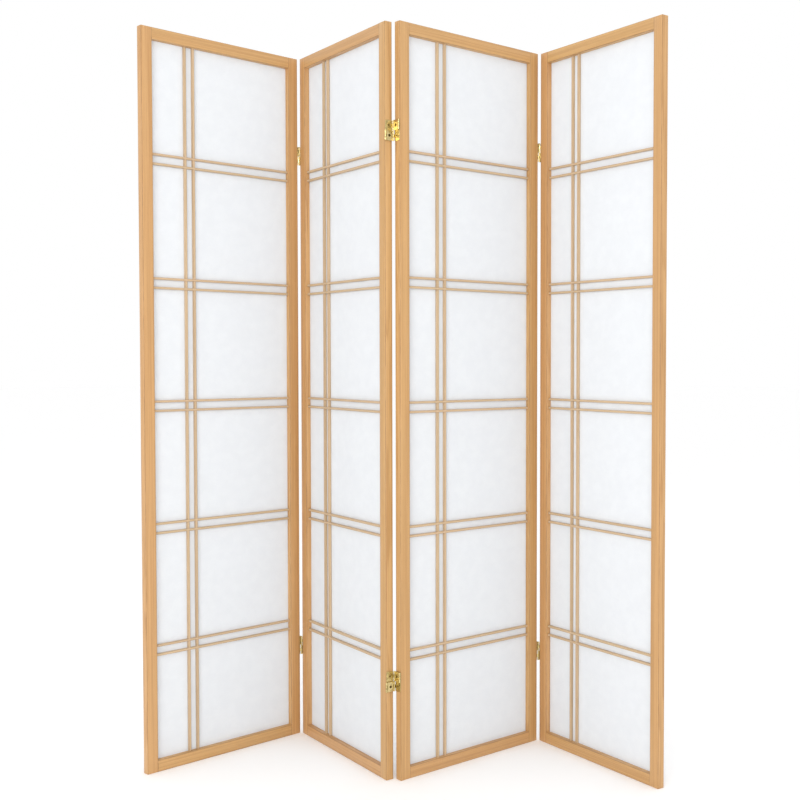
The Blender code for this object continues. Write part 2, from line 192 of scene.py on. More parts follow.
# Painted shade along the long edges of boards and bars, with some wear: full within the first
# distance, gone by the second
PAINTED_EDGE_SHADE = (0.3 * MM, 1.6 * MM)
PAINTED_EDGE_SHADE_STRENGTH = (0.45, 0.9)
FRAME_ROUGHNESS = 0.42
LATTICE_ROUGHNESS = 0.46
WOOD_ROUGHNESS_SPREAD = (-0.05, 0.07)
RING_ROUGHNESS = 0.04
RING_RELIEF = 0.5
WOOD_RELIEF = 0.06 * MM
WOOD_BUMP = 0.6
LACQUER = {"Coat Weight": 0.12, "Coat Roughness": 0.28}

# Paper's look.  A thread has its turn in radians, and its scale along and across.
PAPER_PATTERN = 20
CLOUD_SCALE = (38, 38, 38)
PULP_SCALE = (900, 900, 900)
THREADS = ((0.35, 34, 1150), (1.45, 42, 1400), (2.55, 30, 1250))
THREAD_DEPTH_SCALE = 60
THREAD_BEND = (12 * MM, 12 * MM, 0.0)
THREAD_BEND_SCALE = 24.0
THREAD_SHADE = 0.55
PAPER_ROUGHNESS = (0.78, 0.92)
THREAD_RELIEF = 0.8
PAPER_RELIEF = 0.05 * MM
PAPER_BUMP = 0.5
PAPER_SPECULAR = 0.25
PAPER_THROUGH = 0.25

# Brass
BRASS_PATTERN = 3
BLOOM_SCALE = (160, 160, 160)
ROLLED_SCALE = (90, 4200, 4200)
SPECK_SCALE = (1500, 1500, 1500)
SPECK_STRENGTH = 0.25
RUBBED_EDGE = (0.2 * MM, 0.9 * MM)
RUBBED_EDGE_STRENGTH = 0.5
LEAST_TARNISH = 0.3
TARNISH_ROUGHNESS = 0.2
BRASS_ROUGHNESS_SPREAD = (-0.05, 0.06)
BRASS_RELIEF = 0.01 * MM
BRASS_BUMP = 0.4

# Studio
CAMERA_AT = Vector((0.4864, -2.9086, 1.0003))
CAMERA_YAW = -0.0733
CAMERA_PITCH = 0.0349
CAMERA_ROLL = 0.0016
CAMERA_LENS = 53.09
CAMERA_SENSOR = 36.0
CAMERA_SHIFT = -0.15
CAMERA_REACH = 100.0
FLOOR_REACH = 40.0
FLOOR_SIDES = 96
FLOOR_ROUGHNESS = 0.9
WORLD_STRENGTH = 1.0
LAMPS = (  # name, place, target, width and height, watts
    ("key", (-0.6, -4.3, 1.7), (0, 0, 0.9), (1.8, 1.4), 62),
    ("fill", (0.9, -4.4, 1.1), (0, 0, 0.9), (1.6, 1.4), 24),
    ("top", (0.2, 0.6, 4.2), (0, 0, 0), (3.0, 3.0), 10),
)

rng = random.Random(11)


# Mesh helpers


def loft(bm, rings):
    """Skins rings of points, and caps both ends."""
    loops = [[bm.verts.new(p) for p in ring] for ring in rings]
    for near, far in zip(loops, loops[1:]):
        for i in range(len(near)):
            j = (i + 1) % len(near)
            bm.faces.new((near[i], near[j], far[j], far[i]))
    bm.faces.new(list(reversed(loops[0])))
    bm.faces.new(loops[-1])


def finished(bm):
    """Turns a bmesh into a mesh with its faces pointing out."""
    bmesh.ops.recalc_face_normals(bm, faces=bm.faces)
    mesh = bpy.data.meshes.new("mesh")
    bm.to_mesh(mesh)
    bm.free()
    return mesh


def lofted(rings):
    """A mesh of skinned rings."""
    bm = bmesh.new()
    loft(bm, rings)
    return finished(bm)


def boxes(*corners):
    """A mesh of separate boxes, each between its lowest and highest corner."""
    bm = bmesh.new()
    for (x0, y0, z0), (x1, y1, z1) in corners:
        sides = ((y0, z0), (y1, z0), (y1, z1), (y0, z1))
        loft(bm, [[(x, y, z) for y, z in sides] for x in (x0, x1)])
    return finished(bm)


def grown(low, high):
    """A box's corners with room for a fit on every side."""
    return tuple(v - FIT for v in low), tuple(v + FIT for v in high)


def combined(mesh, steps):
    """Applies Boolean steps, each an operation and a mesh, and returns the new mesh."""
    work = bpy.data.objects.new("work", mesh)
    tools = [bpy.data.objects.new("tool", tool) for _, tool in steps]
    for made in (work, *tools):
        bpy.context.scene.collection.objects.link(made)
    for (operation, _), tool in zip(steps, tools):
        step = work.modifiers.new("step", "BOOLEAN")
        step.operation = operation
        step.object = tool
        step.solver = "EXACT"
    shaped = work.evaluated_get(bpy.context.evaluated_depsgraph_get())
    result = bpy.data.meshes.new_from_object(shaped)
    for spare in (work, *tools):
        used = spare.data
        bpy.data.objects.remove(spare)
        bpy.data.meshes.remove(used)
    return result


def rounded(x0, x1, y0, y1, radii, steps, inset=0.0):
    """A rectangle's outline with a radius at each corner, from (x0, y0) anticlockwise."""
    corners = ((x0, y0, 1, 1), (x1, y0, -1, 1), (x1, y1, -1, -1), (x0, y1, 1, -1))
    points = []
    for turn, ((x, y, right, up), radius) in enumerate(zip(corners, radii)):
        r = max(radius - inset, JOINT_EDGE / 2)
        cx, cy = x + right * (inset + r), y + up * (inset + r)
        for k in range(steps + 1):
            a = math.pi + math.pi / 2 * (turn + k / steps)
            points.append((cx + r * math.cos(a), cy + r * math.sin(a)))
    return points


def circle(centre, radius, sides, start=0.0, sweep=2 * math.pi):
    """Points on a full circle, or on an arc with both of its ends."""
    full = sweep >= 2 * math.pi
    steps = sides if full else max(2, round(sides * sweep / (2 * math.pi)))
    angles = [start + sweep * i / steps for i in range(steps if full else steps + 1)]
    return [(centre[0] + radius * math.cos(a), centre[1] + radius * math.sin(a)) for a in angles]


def lathe(bm, profile, sides, radius_at=None):
    """Turns a profile of (x, radius) points round the X axis."""
    rings = []
    for x, r in profile:
        ring = []
        for i in range(sides):
            a = 2 * math.pi * i / sides
            q = radius_at(x, r, a) if radius_at else r
            ring.append((x, q * math.cos(a), q * math.sin(a)))
        rings.append(ring)
    loft(bm, rings)


def dome(base, height, radius):
    """A lathe profile from just inside a dome's rim to just short of its top."""
    angles = [math.pi / 2 * k / DOME_STEPS for k in range(1, DOME_STEPS)]
    return [(base + height * math.sin(a), radius * math.cos(a)) for a in angles]


def extent(points):
    """Lowest and highest corner of some points."""
    return [Vector([pick(p[k] for p in points) for k in range(3)]) for pick in (min, max)]


def dressed(mesh, to_grain, shift):
    """Smooths round faces, and stores where each point lies in its piece, for the materials."""
    mesh.shade_smooth()
    mesh.set_sharp_from_angle(angle=SMOOTH_ANGLE)
    points = [to_grain @ v.co for v in mesh.vertices]
    low, high = extent(points)
    middle, half = (low + high) / 2, (high - low) / 2
    for name, value in (("place", None), ("half", half), ("shift", shift)):
        data = mesh.attributes.new(name, "FLOAT_VECTOR", "POINT").data
        for i, p in enumerate(points):
            data[i].vector = p - middle if value is None else value
    return mesh


def piece(name, mesh, matrix, body, material, stands_for=()):
    """Adds one piece of the object to the scene."""
    mesh.name = name
    mesh.materials.clear()
    mesh.materials.append(material)
    made = bpy.data.objects.new(name, mesh)
    bpy.context.scene.collection.objects.link(made)
    made.matrix_world = matrix
    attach(made, body)
    if stands_for:
        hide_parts(*stands_for)
    return made


# Where things are, from the CAD nodes


def points_of(matrix, node):
    """A CAD node's points, in the space of that matrix."""
    inverse = matrix.inverted()
    return [inverse @ v.co for v in frame["nodes"][node].data.vertices]


def span(matrix, node):
    """Lowest and highest corner of a CAD node, in the space of that matrix."""
    return extent(points_of(matrix, node))


def levels_of(matrix, node, axis):
    """The distinct coordinates of a CAD node's points along one axis."""
    found = []
    for value in sorted(p[axis] for p in points_of(matrix, node)):
        if not found or value - found[-1] > NEAR:
            found.append(value)
    return found


def panel_matrix(number):
    """The matrix from a panel's own space to the scene."""
    ends = []
    for side in ("left", "right"):
        low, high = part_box(f"panel_{number}_stile_{side}")
        ends.append((low + high) / 2)
    along = (ends[1] - ends[0]).normalized()
    up = Vector((0, 0, 1))
    back = up.cross(along)
    turn = Matrix((along, back, up)).transposed().to_4x4()
    low, _ = span(turn, f"panel_{number}_stile_left")
    return turn @ Matrix.Translation(low)


# Materials


class Look:
    """A material and short ways to add nodes to it."""

    def __init__(self, name):
        self.material = bpy.data.materials.new(name)
        self.material.use_nodes = True
        self.tree = self.material.node_tree
        self.tree.nodes.clear()
        self.out = self.add("OutputMaterial")

    def put(self, socket, value):
        if isinstance(value, bpy.types.NodeSocket):
            self.tree.links.new(value, socket)
        else:
            socket.default_value = value

    def add(self, kind, inputs=None, **settings):
        node = self.tree.nodes.new("ShaderNode" + kind)
        for key, value in settings.items():
            setattr(node, key, value)
        for key, value in (inputs or {}).items():
            self.put(node.inputs[key], value)
        return node

    def attributes(self, *names):
        return [self.add("Attribute", attribute_name=n).outputs["Vector"] for n in names]

    def split(self, vector):
        return self.add("SeparateXYZ", {0: vector}).outputs

    def vector(self, operation, a, b=None):
        inputs = {0: a} if b is None else {0: a, 1: b}
        return self.add("VectorMath", inputs, operation=operation).outputs["Vector"]

    def math(self, operation, a, b=0.0, clamp=False):
        node = self.add("Math", {0: a, 1: b}, operation=operation, use_clamp=clamp)
        return node.outputs["Value"]

    def noise(self, vector, scale, detail, rough=0.5):
        inputs = {"Vector": self.vector("MULTIPLY", vector, scale), "Scale": 1.0}
        inputs.update({"Detail": detail, "Roughness": rough})
        return self.add("TexNoise", inputs).outputs["Fac"]

    def fit(self, value, low, high, to=(0.0, 1.0), smooth=True):
        inputs = {"Value": value, "From Min": low, "From Max": high}
        inputs.update({"To Min": to[0], "To Max": to[1]})
        kind = "SMOOTHSTEP" if smooth else "LINEAR"
        return self.add("MapRange", inputs, interpolation_type=kind).outputs["Result"]

    def ramp(self, value, stops):
        node = self.add("ValToRGB", {"Fac": value})
        points = node.color_ramp.elements
        while len(points) < len(stops):
            points.new(0.5)
        for point, (position, level) in zip(points, stops):
            point.position = position
            point.color = (level, level, level, 1)
        return node.outputs["Color"]

    def blend(self, factor, a, b):
        node = self.add("Mix", {"Factor": factor}, data_type="RGBA")
        for name, value in (("A", a), ("B", b)):
            self.put(next(s for s in node.inputs if s.name == name and s.type == "RGBA"), value)
        return next(s for s in node.outputs if s.type == "RGBA")

    def to_edge(self, place, half, first, second):
        """How far a point is from the nearest edge, of those that run along the third axis."""
        depths = self.split(self.vector("SUBTRACT", half, self.vector("ABSOLUTE", place)))
        return self.math("MAXIMUM", depths[first], depths[second])

    def bump(self, height, distance, strength):
        inputs = {"Height": height, "Distance": distance, "Strength": strength}
        return self.add("Bump", inputs).outputs["Normal"]

    def finish(self, shader):
        self.tree.links.new(shader.outputs[0], self.out.inputs["Surface"])
        return self.material


def wood_look(name, early, late, edge_shade_colour, roughness):
    """Lacquered softwood: rings cut by the board's faces, fibres, streaks, and painted shade
    darkening the edges, with some wear.
    """
    look = Look(name)
    place, half, shift = look.attributes("place", "half", "shift")
    grain = look.vector("ADD", place, shift)
    slow = look.noise(grain, RING_WANDER_SCALE, 1.0)
    wander = look.math("MULTIPLY", look.math("SUBTRACT", slow, 0.5), RING_WANDER)
    across = look.split(grain)
    squares = [look.math("POWER", across[k], 2.0) for k in ("Y", "Z")]
    radius = look.math("SQRT", look.math("ADD", *squares))
    ring = look.math("DIVIDE", look.math("ADD", radius, wander), RING_SPACING)
    drift = look.noise(grain, RING_DRIFT_SCALE, 2.0)
    ring = look.math("ADD", ring, look.math("MULTIPLY", drift, RING_DRIFT))
    late_wood = look.ramp(look.math("FRACT", ring), RING_STOPS)
    streaks = look.noise(grain, STREAK_SCALE, 3.0, 0.6)
    fibres = look.noise(grain, FIBRE_SCALE, 2.0)
    broad = look.noise(grain, BROAD_SCALE, 2.0)

    dark = look.math("MULTIPLY", late_wood, look.fit(broad, *USUAL, RING_STRENGTH))
    dark = look.math("ADD", dark, look.fit(streaks, *STREAKS, STREAK_STRENGTH), clamp=True)
    colour = look.blend(dark, early, late)
    board = look.split(look.add("TexWhiteNoise", {"Vector": shift}).outputs["Color"])
    value = look.fit(board["X"], 0, 1, BOARD_VALUE, smooth=False)
    value = look.math("MULTIPLY", value, look.fit(broad, *WIDE, BROAD_VALUE))
    value = look.math("MULTIPLY", value, look.fit(fibres, *USUAL, FIBRE_VALUE))
    hue = look.fit(board["Y"], 0, 1, BOARD_HUE, smooth=False)
    shaded = look.add("HueSaturation", {"Hue": hue, "Value": value, "Color": colour})

    # Painted shade with some wear: darker towards the long edges, patchy along them
    edge = look.fit(look.to_edge(place, half, "Y", "Z"), *PAINTED_EDGE_SHADE, (1.0, 0.0))
    patches = look.noise(grain, PATCH_SCALE, 3.0, 0.65)
    edge = look.math("MULTIPLY", edge, look.fit(patches, *PATCHES, PAINTED_EDGE_SHADE_STRENGTH))
    colour = look.blend(edge, shaded.outputs["Color"], edge_shade_colour)

    rough = look.fit(patches, *USUAL, [roughness + v for v in WOOD_ROUGHNESS_SPREAD])
    rough = look.math("ADD", rough, look.math("MULTIPLY", late_wood, RING_ROUGHNESS))
    relief = look.math("ADD", look.math("MULTIPLY", late_wood, RING_RELIEF), fibres)
    normal = look.bump(relief, WOOD_RELIEF, WOOD_BUMP)
    inputs = {"Base Color": colour, "Roughness": rough, "Normal": normal, **LACQUER}
    return look.finish(look.add("BsdfPrincipled", inputs))


def paper_look(name, light, shade):
    """Fibrous laminated paper that lets a little light through."""
    look = Look(name)
    place, shift = look.attributes("place", "shift")
    sheet = look.vector("ADD", place, shift)
    clouds = look.noise(sheet, CLOUD_SCALE, 4.0, 0.62)
    pulp = look.noise(sheet, PULP_SCALE, 2.0)
    inputs = {"Vector": sheet, "Scale": THREAD_BEND_SCALE, "Detail": 1.0}
    warp = look.add("TexNoise", inputs).outputs["Color"]
    bent = look.vector("ADD", sheet, look.vector("MULTIPLY", warp, THREAD_BEND))
    threads = None
    for turn, along, across in THREADS:
        spun = look.add("VectorRotate", {"Vector": bent, "Angle": turn}).outputs["Vector"]
        strand = look.fit(look.noise(spun, (along, across, THREAD_DEPTH_SCALE), 1.0), *STRANDS)
        threads = strand if threads is None else look.math("MAXIMUM", threads, strand)
    mottle = look.fit(clouds, *USUAL)
    mottle = look.math("ADD", mottle, look.math("MULTIPLY", threads, THREAD_SHADE), clamp=True)
    colour = look.blend(mottle, light, shade)
    rough = look.fit(pulp, *USUAL, PAPER_ROUGHNESS)
    relief = look.math("ADD", look.math("MULTIPLY", threads, THREAD_RELIEF), pulp)
    normal = look.bump(relief, PAPER_RELIEF, PAPER_BUMP)
    inputs = {"Base Color": colour, "Roughness": rough, "Normal": normal}
    surface = look.add("BsdfPrincipled", {**inputs, "Specular IOR Level": PAPER_SPECULAR})
    inside = look.add("BsdfTranslucent", {"Color": colour, "Normal": normal})
    shaders = {0: PAPER_THROUGH, 1: surface.outputs[0], 2: inside.outputs[0]}
    return look.finish(look.add("MixShader", shaders))


def brass_look(name, bright, aged, roughness, age):
    """Polished brass with rolling lines, a little tarnish, and bright edges."""
    look = Look(name)
    place, half, shift = look.attributes("place", "half", "shift")
    metal = look.vector("ADD", place, shift)
    blooms = look.noise(metal, BLOOM_SCALE, 4.0, 0.6)
    lines = look.noise(metal, ROLLED_SCALE, 2.0)
    specks = look.noise(metal, SPECK_SCALE, 1.0)
    tarnish = look.fit(blooms, *BLOOMS, (age * LEAST_TARNISH, age))
    speckled = look.fit(specks, *SPECKS, (0.0, SPECK_STRENGTH))
    tarnish = look.math("ADD", tarnish, speckled, clamp=True)
    colour = look.blend(tarnish, bright, aged)
    edge = look.to_edge(place, half, "X", "Y")
    edge = look.fit(edge, *RUBBED_EDGE, (RUBBED_EDGE_STRENGTH, 0.0))
    colour = look.blend(edge, colour, bright)
    rough = look.fit(lines, *USUAL, [roughness + v for v in BRASS_ROUGHNESS_SPREAD])
    rough = look.math("ADD", rough, look.math("MULTIPLY", tarnish, TARNISH_ROUGHNESS))
    normal = look.bump(look.math("ADD", lines, specks), BRASS_RELIEF, BRASS_BUMP)
    inputs = {"Base Color": colour, "Roughness": rough, "Normal": normal, "Metallic": 1.0}
    return look.finish(look.add("BsdfPrincipled", inputs))


frame_wood = wood_look("frame_wood", FRAME_EARLY, FRAME_LATE, FRAME_EDGE_SHADE, FRAME_ROUGHNESS)
lattice_wood = wood_look(
    "lattice_wood", LATTICE_EARLY, LATTICE_LATE, LATTICE_EDGE_SHADE, LATTICE_ROUGHNESS
)
rice_paper = paper_look("rice_paper", PAPER_LIGHT, PAPER_SHADE)
leaf_brass = brass_look("leaf_brass", LEAF_BRIGHT, LEAF_AGED, roughness=0.19, age=0.7)
link_brass = brass_look("link_brass", LINK_BRIGHT, LINK_AGED, roughness=0.17, age=0.6)
screw_brass = brass_look("screw_brass", SCREW_BRIGHT, SCREW_AGED, roughness=0.34, age=0.8)


# Panels

# From a piece's space to its grain's, whose X runs along the piece
ALONG_X = Matrix(((1, 0, 0, 0), (0, 0, 1, 0), (0, 1, 0, 0), (0, 0, 0, 1)))
ALONG_Z = Matrix(((0, 0, 1, 0), (1, 0, 0, 0), (0, 1, 0, 0), (0, 0, 0, 1)))


def stile_mesh(low, high, joint_levels, inner_first):
    """An upright board.  Its inner edges are square where the rails meet it."""
    stations = []
    for k in range(ROUND_STEPS + 1):
        a = math.pi / 2 * k / ROUND_STEPS
        inset, rise = END_ROUND * (1 - math.sin(a)), END_ROUND * (1 - math.cos(a))
        stations.append((low.z + rise, inset, JOINT_EDGE))
    stations.append((joint_levels[0] - EDGE_ROUND / 2, 0.0, JOINT_EDGE))
    stations.append((joint_levels[0] + EDGE_ROUND / 2, 0.0, EDGE_ROUND))
    total = low.z + high.z
    stations += [(total - z, inset, radius) for z, inset, radius in reversed(stations)]
    rings = []
    for z, inset, inner in stations:
        outer = EDGE_ROUND
        radii = (inner, outer, outer, inner) if inner_first else (outer, inner, inner, outer)
        outline = rounded(low.x, high.x, low.y, high.y, radii, ROUND_STEPS, inset)
        rings.append([(x, y, z) for x, y in outline])
    return lofted(rings)


def rail_mesh(low, high):
    """A level board between its shoulders, with all four long edges rounded."""
    outline = rounded(low.y, high.y, low.z, high.z, (EDGE_ROUND,) * 4, ROUND_STEPS)
    return lofted([[(x, y, z) for y, z in outline] for x in (low.x, high.x)])


def bar_mesh(low, high, axis):
    """A lattice bar along X or Z, with eased edges."""
    other = 2 if axis == 0 else 0
    radii = (BAR_ROUND,) * 4
    outline = rounded(low.y, high.y, low[other], high[other], radii, BAR_ROUND_STEPS)
    rings = []
    for end in (low[axis], high[axis]):
        rings.append([(end, y, v) if axis == 0 else (v, y, end) for y, v in outline])
    return lofted(rings)


def pilot_holes(x, direction, y, heights):
    """Cutting shapes for screw holes into a stile's outer edge."""
    bm = bmesh.new()
    ring = circle((0, 0), PILOT_RADIUS, PILOT_SIDES)
    ends = (x - direction * OVERRUN, x + direction * PILOT_DEPTH)
    for z in heights:
        loft(bm, [[(end, y + u, z + v) for u, v in ring] for end in ends])
    return finished(bm)


def paper_mesh(low, high, bars_x, bars_z):
    """The sheet: flat where it lies on a bar, and slightly bowed and cockled between them."""
    nx = round((high.x - low.x) / PAPER_CELL)
    nz = round((high.z - low.z) / PAPER_CELL)
    draws = (WAVE_RATES, WAVE_RATES, WAVE_PHASES)
    waves = [[rng.uniform(*limits) for limits in draws] for _ in range(PAPER_WAVES)]

    def free(value, marks):
        nearest = min(abs(value - mark) for mark in marks)
        return min(1.0, nearest / PAPER_FREE)

    def offset(x, z):
        loose = free(x, [low.x, high.x, *bars_x]) * free(z, [low.z, high.z, *bars_z])
        u, v = WAVE_STRETCH[0] * x, WAVE_STRETCH[1] * z
        ripple = sum(math.sin(a * u + b * v + c) for a, b, c in waves) / len(waves)
        return PAPER_REST + PAPER_BOW * loose + PAPER_COCKLE * loose * ripple

    bm = bmesh.new()
    sides = []
    for y in (low.y, high.y):
        rows = []
        for j in range(nz + 1):
            z = low.z + (high.z - low.z) * j / nz
            row = []
            for i in range(nx + 1):
                x = low.x + (high.x - low.x) * i / nx
                edge = i in (0, nx) or j in (0, nz)
                row.append(bm.verts.new((x, y + (0 if edge else offset(x, z)), z)))
            rows.append(row)
        sides.append(rows)
    for rows in sides:
        for j in range(nz):
            for i in range(nx):
                bm.faces.new((rows[j][i], rows[j][i + 1], rows[j + 1][i + 1], rows[j + 1][i]))
    rim = [(0, i) for i in range(nx)] + [(j, nx) for j in range(nz)]
    rim += [(nz, i) for i in range(nx, 0, -1)] + [(j, 0) for j in range(nz, 0, -1)]
    for k, (j, i) in enumerate(rim):
        m, n = rim[(k + 1) % len(rim)]
        bm.faces.new((sides[0][j][i], sides[0][m][n], sides[1][m][n], sides[1][j][i]))
    return finished(bm)


def wood_shift():
    """A place in the log for one board, so that no two boards have the same grain."""
    side = rng.choice((-1, 1))
    along, away, aside = (rng.uniform(*limits) for limits in (LOG_ALONG, LOG_AWAY, LOG_ASIDE))
    return Vector((along, side * away, aside))


def any_shift(reach):
    """A random place in the paper's or the metal's pattern."""
    return Vector([rng.uniform(0, reach) for _ in range(3)])


class Panel:
    """One panel: where its parts are in its own space, and how they are made."""

    def __init__(self, number):
        self.number = number
        self.body = f"panel_{number}"
        self.matrix = panel_matrix(number)
        self.left = self.span("stile_left")
        self.right = self.span("stile_right")
        self.bottom = self.span("rail_bottom")
        self.top = self.span("rail_top")
        self.bars = self.span("lattice")
        self.paper = self.span("paper")
        xs, zs = (levels_of(self.matrix, self.body + "_lattice", axis) for axis in (0, 2))
        self.uprights = list(zip(xs[1:-1:2], xs[2:-1:2]))
        self.rows = list(zip(zs[1:-1:2], zs[2:-1:2]))

    def span(self, part):
        return span(self.matrix, f"{self.body}_{part}")

    def add(self, name, mesh, way, shift, slot, material, node):
        """Adds one piece of this panel."""
        dressed(mesh, way, shift)
        return piece(name, mesh, self.matrix, self.body, material, [node])

    def hollows(self):
        """Steps that cut the paper's groove and the pockets for the ends of the bars."""
        low, high = self.bars
        pockets = [grown((low.x, low.y, z0), (high.x, high.y, z1)) for z0, z1 in self.rows]
        pockets += [grown((x0, low.y, low.z), (x1, high.y, high.z)) for x0, x1 in self.uprights]
        return [("DIFFERENCE", boxes(grown(*self.paper))), ("DIFFERENCE", boxes(*pockets))]

    def make_boards(self):
        """The stiles and the rails.  Returns the names of their pieces."""
        inner_bottom, inner_top = self.bottom[1].z, self.top[0].z
        middle_y = (self.left[0].y + self.left[1].y) / 2
        height = self.left[1].z
        z0, z1 = TENON_OUTER_SHOULDER, inner_bottom - TENON_INNER_SHOULDER
        tenons = ((z0, z1), (height - z1, height - z0))
        y0, y1 = middle_y - TENON_THICKNESS / 2, middle_y + TENON_THICKNESS / 2
        x0, x1 = self.bottom[0].x, self.bottom[1].x

        boards = []
        for side, (low, high) in (("left", self.left), ("right", self.right)):
            mesh = stile_mesh(low, high, (inner_bottom, inner_top), side == "right")
            mortises = boxes(*[grown((x0, y0, z0), (x1, y1, z1)) for z0, z1 in tenons])
            steps = [("DIFFERENCE", mortises), *self.hollows()]
            heights = screw_heights(self.number, side, self.matrix)
            if heights:
                x, direction = (low.x, 1) if side == "left" else (high.x, -1)
                steps.append(("DIFFERENCE", pilot_holes(x, direction, middle_y, heights)))
            boards.append((f"{self.body}_stile_{side}", combined(mesh, steps), ALONG_Z))
        ends = (("bottom", self.bottom, tenons[0]), ("top", self.top, tenons[1]))
        for end, (low, high), (z0, z1) in ends:
            shoulder_low = Vector((self.left[1].x + SHOULDER_GAP, low.y, low.z))
            shoulder_high = Vector((self.right[0].x - SHOULDER_GAP, high.y, high.z))
            mesh = rail_mesh(shoulder_low, shoulder_high)
            steps = [("UNION", boxes(((low.x, y0, z0), (high.x, y1, z1)))), *self.hollows()]
            boards.append((f"{self.body}_rail_{end}", combined(mesh, steps), ALONG_X))
        names = []
        for node, mesh, way in boards:
            names.append(node + "_board")
            self.add(names[-1], mesh, way, wood_shift(), "frame_wood", frame_wood, node)
        return names

    def make_bars(self):
        """The lattice: uprights cut in front and level bars cut behind, where they cross."""
        low, high = self.bars
        lap_y = (low.y + high.y) / 2
        node = self.body + "_lattice"
        bars = []
        for i, (x0, x1) in enumerate(self.uprights, 1):
            mesh = bar_mesh(Vector((x0, low.y, low.z)), Vector((x1, high.y, high.z)), 2)
            laps = []
            for z0, z1 in self.rows:
                corner = (x0 - OVERRUN, low.y - OVERRUN, z0 - LAP_FIT)
                laps.append((corner, (x1 + OVERRUN, lap_y + LAP_FIT, z1 + LAP_FIT)))
            bars.append((f"{self.body}_bar_upright_{i}", mesh, laps, ALONG_Z))
        for j, (z0, z1) in enumerate(self.rows, 1):
            mesh = bar_mesh(Vector((low.x, low.y, z0)), Vector((high.x, high.y, z1)), 0)
            laps = []
            for x0, x1 in self.uprights:
                corner = (x0 - LAP_FIT, lap_y - LAP_FIT, z0 - OVERRUN)
                laps.append((corner, (x1 + LAP_FIT, high.y + OVERRUN, z1 + OVERRUN)))
            bars.append((f"{self.body}_bar_level_{j:02d}", mesh, laps, ALONG_X))
        for name, mesh, laps, way in bars:
            mesh = combined(mesh, [("DIFFERENCE", boxes(*laps))])
            self.add(name, mesh, way, wood_shift(), "lattice_wood", lattice_wood, node)

    def make_paper(self):
        """The sheet, stretched in the frame."""
        low, high = self.paper
        bars_x = [(x0 + x1) / 2 for x0, x1 in self.uprights]
        bars_z = [(z0 + z1) / 2 for z0, z1 in self.rows]
        mesh = paper_mesh(low, high, bars_x, bars_z)
        name, node = self.body + "_paper_sheet", self.body + "_paper"
        shift = any_shift(PAPER_PATTERN)
        sheet = self.add(name, mesh, ALONG_X, shift, "rice_paper", rice_paper, node)


# Hinges.  The hinge's own space has X from the left panel to the right panel, Y to the back.


def hinge_nodes(hinge, level, side):
    """The body, leaf and link of a hinge that ride with its left or right panel."""
    body = f"panel_{hinge if side == 'left' else hinge + 1}"
    start = f"hinge_{hinge}_{level}_"
    mine = frame["record"]["behaviour"]["bodies"][body]
    link = next(n for n in mine if n.startswith(start + "link"))
    return body, start + "leaf_" + side, link


def hinge_matrix(matrix, leaf, link):
    """From a hinge's own space to the scene, as the panel with that matrix holds it."""
    leaf_low, leaf_high = span(matrix, leaf)
    link_low, link_high = span(matrix, link)
    middle = (link_low + link_high) / 2
    middle.z = (leaf_low.z + leaf_high.z) / 2
    return matrix @ Matrix.Translation(middle)


def leaf_plate(matrix, leaf):
    """X of a leaf's face against its panel, and half the plate's depth.

    The screws run on behind the face, and the knuckles past the sides, but neither is as high
    as the plate.
    """
    points = points_of(matrix, leaf)
    rim = max(p.z for p in points) - NEAR
    flat = [p for p in points if p.z > rim]
    return min(p.x for p in flat), max(p.y for p in flat)


def screw_level(half_height):
    """How far the screws stand above and below the middle of a hinge."""
    return (half_height + LINKS_APART / 2) / 2


def screw_heights(number, side, matrix):
    """Heights of the screws in one stile of a panel, or none where it has no hinge."""
    hinge = number - 1 if side == "left" else number
    if hinge not in PANELS[:-1]:
        return []
    heights = []
    for level in LEVELS:
        leaf_side = "right" if side == "left" else "left"
        low, high = span(matrix, f"hinge_{hinge}_{level}_leaf_{leaf_side}")
        middle, reach = (low.z + high.z) / 2, screw_level((high.z - low.z) / 2)
        heights += [middle - reach, middle + reach]
    return heights


def layers(half_height):
    """Heights of the knuckles in the upper half of a hinge, from the bottom up."""
    z0 = LINKS_APART / 2
    length = (half_height - z0 - (LAYERS - 1) * FIT) / LAYERS
    return [(z0 + i * (length + FIT), z0 + i * (length + FIT) + length) for i in range(LAYERS)]


def strap_path(leaf_x, edge_y, pin_y):
    """Middle line and half thickness of the strap that runs off a leaf and rolls round its pin.

    It leaves the leaf in one bend, then runs straight until it touches the roll.
    """
    thin = (KNUCKLE_RADIUS - BORE_RADIUS) / 2
    thick = LEAF_THICKNESS / 2 - STRAP_INSET
    roll = KNUCKLE_RADIUS - thin
    s, c = math.sin(STRAP_HEADING), math.cos(STRAP_HEADING)
    meet = math.pi - STRAP_HEADING
    touch = (roll * math.cos(meet), pin_y + roll * math.sin(meet))
    dx, dy = touch[0] - leaf_x, touch[1] - edge_y
    bend = (dx - dy * s / c) / ((1 - c) - s * s / c)
    path = [(leaf_x, edge_y - 2 * LEAF_THICKNESS, thick), (leaf_x, edge_y, thick)]
    for k in range(1, STRAP_BEND_STEPS + 1):
        a = STRAP_HEADING * k / STRAP_BEND_STEPS
        path.append((leaf_x + bend * (1 - math.cos(a)), edge_y + bend * math.sin(a), thick))
    path[-1] = (path[-1][0], path[-1][1], (thick + thin) / 2)
    turn = 2 * math.pi - (STRAP_END - meet)
    for k in range(STRAP_ROLL_STEPS + 1):
        a = meet - turn * k / STRAP_ROLL_STEPS
        path.append((roll * math.cos(a), pin_y + roll * math.sin(a), thin))
    return path


